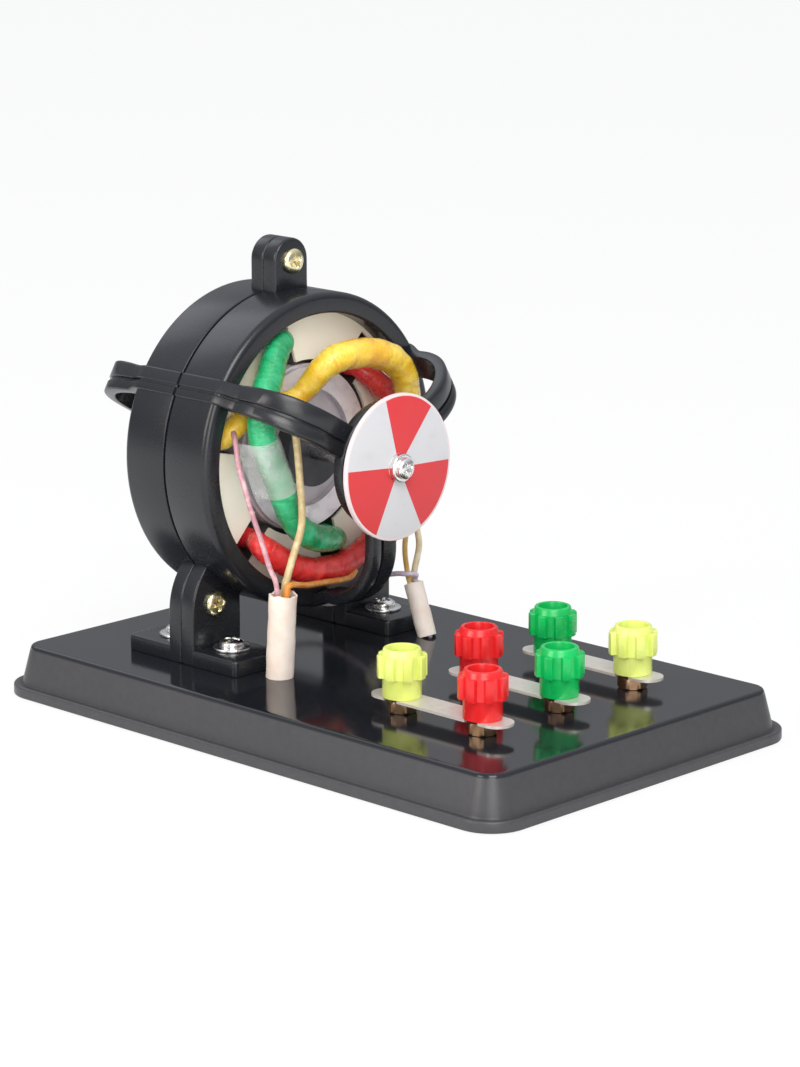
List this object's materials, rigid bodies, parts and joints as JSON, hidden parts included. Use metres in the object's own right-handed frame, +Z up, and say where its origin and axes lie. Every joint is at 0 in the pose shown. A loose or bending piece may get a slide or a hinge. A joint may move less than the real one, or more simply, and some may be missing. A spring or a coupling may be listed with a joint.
{
  "type": "demonstration three-phase motor",
  "caption": "Open demonstration induction motor on a tray base: taped windings show round a cage rotor that turns a sectored disc, with binding posts joined by link strips.",
  "frame": {"origin": "centre of the underside of the base, on the surface it stands on", "axes": "+Z up, +Y towards the back: the disc and the posts are at the front, the shaft runs along Y, +X to the right seen from the front"},
  "size_m": [0.135, 0.21, 0.1425],
  "materials": {
    "housing_plastic": "glossy black moulded plastic",
    "brass": "brass, lightly dulled",
    "steel": "bright nickel-plated steel",
    "core_steel": "dark lamination edges",
    "liner": "cream insulating board",
    "yellow_tape": "shiny yellow tape wrap",
    "green_tape": "shiny green tape wrap",
    "red_tape": "shiny red tape wrap",
    "rotor_steel": "turned lamination edges",
    "cast_aluminium": "cast aluminium",
    "spacer_plastic": "dark spacer",
    "disc_white": "white disc with red sectors",
    "sleeve": "pale insulating sleeve",
    "pink_lead": "pink insulation",
    "tan_lead": "tan insulation",
    "orange_lead": "orange insulation",
    "beige_lead": "beige insulation",
    "amber_lead": "amber insulation",
    "lilac_lead": "lilac insulation",
    "tinned": "tin-plated sheet",
    "yellow_plastic": "lemon yellow moulded plastic",
    "red_plastic": "red moulded plastic",
    "green_plastic": "green moulded plastic"
  },
  "bodies": {
    "stand": {"base": "housing_plastic", "front_housing": "housing_plastic", "rear_housing": "housing_plastic", "clamp_screws": "brass", "clamp_nuts": "brass", "foot_screws": "steel", "foot_washers": "steel", "foot_nuts": "steel", "stator_core": "core_steel", "front_end_plate": "liner", "rear_end_plate": "liner", "yellow_coil": "yellow_tape", "green_coil": "green_tape", "red_coil": "red_tape", "front_bearing": "brass", "rear_bearing": "brass", "left_sleeve": "sleeve", "right_sleeve": "sleeve", "pink_lead": "pink_lead", "tan_lead": "tan_lead", "orange_lead": "orange_lead", "beige_lead": "beige_lead", "amber_lead": "amber_lead", "lilac_lead": "lilac_lead", "post_studs": "brass", "post_nuts": "brass", "tag_nuts": "brass", "solder_tags": "tinned"},
    "rotor": {"rotor_core": "rotor_steel", "rotor_cage": "cast_aluminium", "shaft": "steel", "rotor_spacers": "spacer_plastic", "disc_seat": "brass", "indicator_disc": "disc_white", "disc_collar": "steel", "disc_screw": "steel"},
    "left_link": {"left_link": "tinned"},
    "middle_link": {"middle_link": "tinned"},
    "right_link": {"right_link": "tinned"},
    "left_rear_insert": {"left_rear_insert": "brass"},
    "left_rear_knob": {"left_rear_knob": "yellow_plastic"},
    "middle_rear_insert": {"middle_rear_insert": "brass"},
    "middle_rear_knob": {"middle_rear_knob": "red_plastic"},
    "right_rear_insert": {"right_rear_insert": "brass"},
    "right_rear_knob": {"right_rear_knob": "green_plastic"},
    "left_front_insert": {"left_front_insert": "brass"},
    "left_front_knob": {"left_front_knob": "red_plastic"},
    "middle_front_insert": {"middle_front_insert": "brass"},
    "middle_front_knob": {"middle_front_knob": "green_plastic"},
    "right_front_insert": {"right_front_insert": "brass"},
    "right_front_knob": {"right_front_knob": "yellow_plastic"}
  },
  "joints": [
    {"name": "rotor_spin", "type": "hinge", "parent": "stand", "child": "rotor", "pos_m": [0, 0.047, 0.078], "axis": [0, -1, 0], "continuous": true},
    {"name": "left_link_draw", "type": "slide", "parent": "stand", "child": "left_link", "axis": [1, 0, 0], "range_m": [0, 0.011]},
    {"name": "middle_link_draw", "type": "slide", "parent": "stand", "child": "middle_link", "axis": [1, 0, 0], "range_m": [0, 0.011]},
    {"name": "right_link_draw", "type": "slide", "parent": "stand", "child": "right_link", "axis": [1, 0, 0], "range_m": [0, 0.011]},
    {"name": "left_rear_lift", "type": "slide", "parent": "stand", "child": "left_rear_insert", "axis": [0, 0, 1], "range_m": [0, 0.0024]},
    {"name": "left_rear_turn", "type": "hinge", "parent": "left_rear_insert", "child": "left_rear_knob", "pos_m": [-0.033, -0.037, 0.0205], "axis": [0, 0, 1], "range_deg": [0, 1080]},
    {"name": "middle_rear_lift", "type": "slide", "parent": "stand", "child": "middle_rear_insert", "axis": [0, 0, 1], "range_m": [0, 0.0024]},
    {"name": "middle_rear_turn", "type": "hinge", "parent": "middle_rear_insert", "child": "middle_rear_knob", "pos_m": [0, -0.037, 0.0205], "axis": [0, 0, 1], "range_deg": [0, 1080]},
    {"name": "right_rear_lift", "type": "slide", "parent": "stand", "child": "right_rear_insert", "axis": [0, 0, 1], "range_m": [0, 0.0024]},
    {"name": "right_rear_turn", "type": "hinge", "parent": "right_rear_insert", "child": "right_rear_knob", "pos_m": [0.033, -0.037, 0.0205], "axis": [0, 0, 1], "range_deg": [0, 1080]},
    {"name": "left_front_lift", "type": "slide", "parent": "stand", "child": "left_front_insert", "axis": [0, 0, 1], "range_m": [0, 0.0024]},
    {"name": "left_front_turn", "type": "hinge", "parent": "left_front_insert", "child": "left_front_knob", "pos_m": [-0.033, -0.069, 0.0205], "axis": [0, 0, 1], "range_deg": [0, 1080]},
    {"name": "middle_front_lift", "type": "slide", "parent": "stand", "child": "middle_front_insert", "axis": [0, 0, 1], "range_m": [0, 0.0024]},
    {"name": "middle_front_turn", "type": "hinge", "parent": "middle_front_insert", "child": "middle_front_knob", "pos_m": [0, -0.069, 0.0205], "axis": [0, 0, 1], "range_deg": [0, 1080]},
    {"name": "right_front_lift", "type": "slide", "parent": "stand", "child": "right_front_insert", "axis": [0, 0, 1], "range_m": [0, 0.0024]},
    {"name": "right_front_turn", "type": "hinge", "parent": "right_front_insert", "child": "right_front_knob", "pos_m": [0.033, -0.069, 0.0205], "axis": [0, 0, 1], "range_deg": [0, 1080]}
  ],
  "couplings": [
    {"joint": "left_rear_turn", "follows": "left_rear_lift", "rad_per_m": 7854},
    {"joint": "middle_rear_turn", "follows": "middle_rear_lift", "rad_per_m": 7854},
    {"joint": "right_rear_turn", "follows": "right_rear_lift", "rad_per_m": 7854},
    {"joint": "left_front_turn", "follows": "left_front_lift", "rad_per_m": 7854},
    {"joint": "middle_front_turn", "follows": "middle_front_lift", "rad_per_m": 7854},
    {"joint": "right_front_turn", "follows": "right_front_lift", "rad_per_m": 7854}
  ]
}
